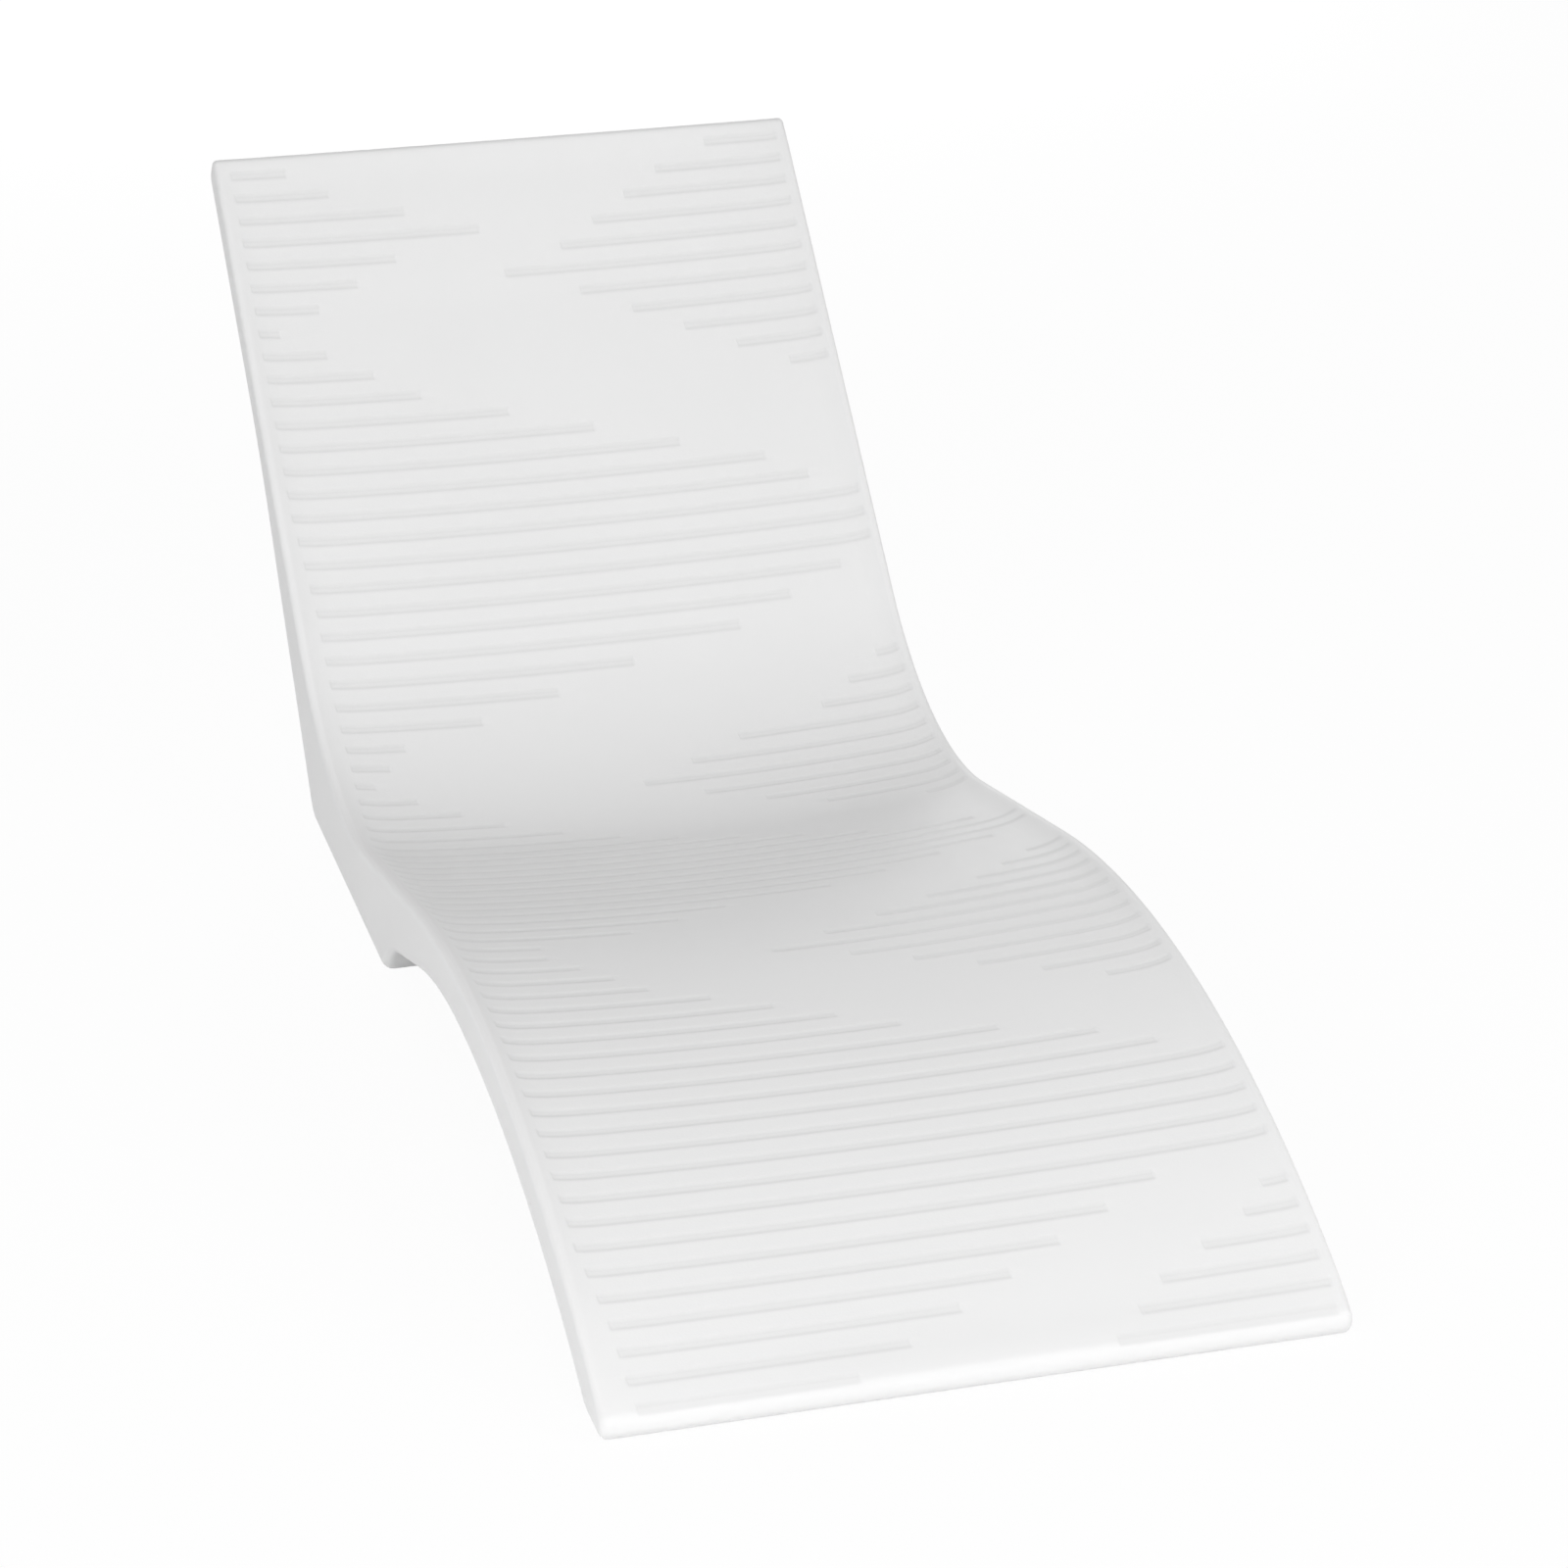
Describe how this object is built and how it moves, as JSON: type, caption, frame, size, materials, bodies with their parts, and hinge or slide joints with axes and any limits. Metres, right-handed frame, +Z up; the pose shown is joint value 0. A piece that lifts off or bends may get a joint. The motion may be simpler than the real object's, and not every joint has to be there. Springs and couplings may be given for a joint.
{
  "type": "in-pool sun lounger",
  "caption": "White one-piece moulded chaise for a pool shelf, S-shaped, with a dished, grooved lying surface and two threaded water plugs at the rear.",
  "frame": {"origin": "on the floor, under the middle of the lounger's overall length and width", "axes": "+X from the head end towards the foot, +Y across the width, +Z up"},
  "size_m": [1.9354, 0.69, 0.6225],
  "materials": {
    "shell": "satin rotomoulded polyethylene, even fine texture",
    "plug": "satin injection moulded nylon",
    "seal": "smooth matte rubber",
    "bush": "turned, slightly dull"
  },
  "bodies": {
    "lounger": {"shell": "shell", "fill_port_bush": "bush", "drain_port_bush": "bush"},
    "fill_seal": {"fill_gasket": "seal"},
    "fill_stopper": {"fill_plug": "plug"},
    "drain_seal": {"drain_gasket": "seal"},
    "drain_stopper": {"drain_plug": "plug"}
  },
  "joints": [
    {"name": "fill_lift", "type": "slide", "parent": "lounger", "child": "fill_seal", "axis": [-0.7965, 0, -0.6046], "range_m": [0, 0.01051]},
    {"name": "fill_turn", "type": "hinge", "parent": "fill_seal", "child": "fill_stopper", "pos_m": [-0.62495, 0, 0.25], "axis": [-0.7965, 0, -0.6046], "range_deg": [0, 1260]},
    {"name": "drain_lift", "type": "slide", "parent": "lounger", "child": "drain_seal", "axis": [-0.7965, 0, -0.6046], "range_m": [0, 0.01051]},
    {"name": "drain_turn", "type": "hinge", "parent": "drain_seal", "child": "drain_stopper", "pos_m": [-0.49971, 0, 0.085], "axis": [-0.7965, 0, -0.6046], "range_deg": [0, 1260]}
  ],
  "couplings": [
    {"joint": "fill_lift", "follows": "fill_turn", "m_per_rad": 0.00047746},
    {"joint": "drain_lift", "follows": "drain_turn", "m_per_rad": 0.00047746}
  ]
}
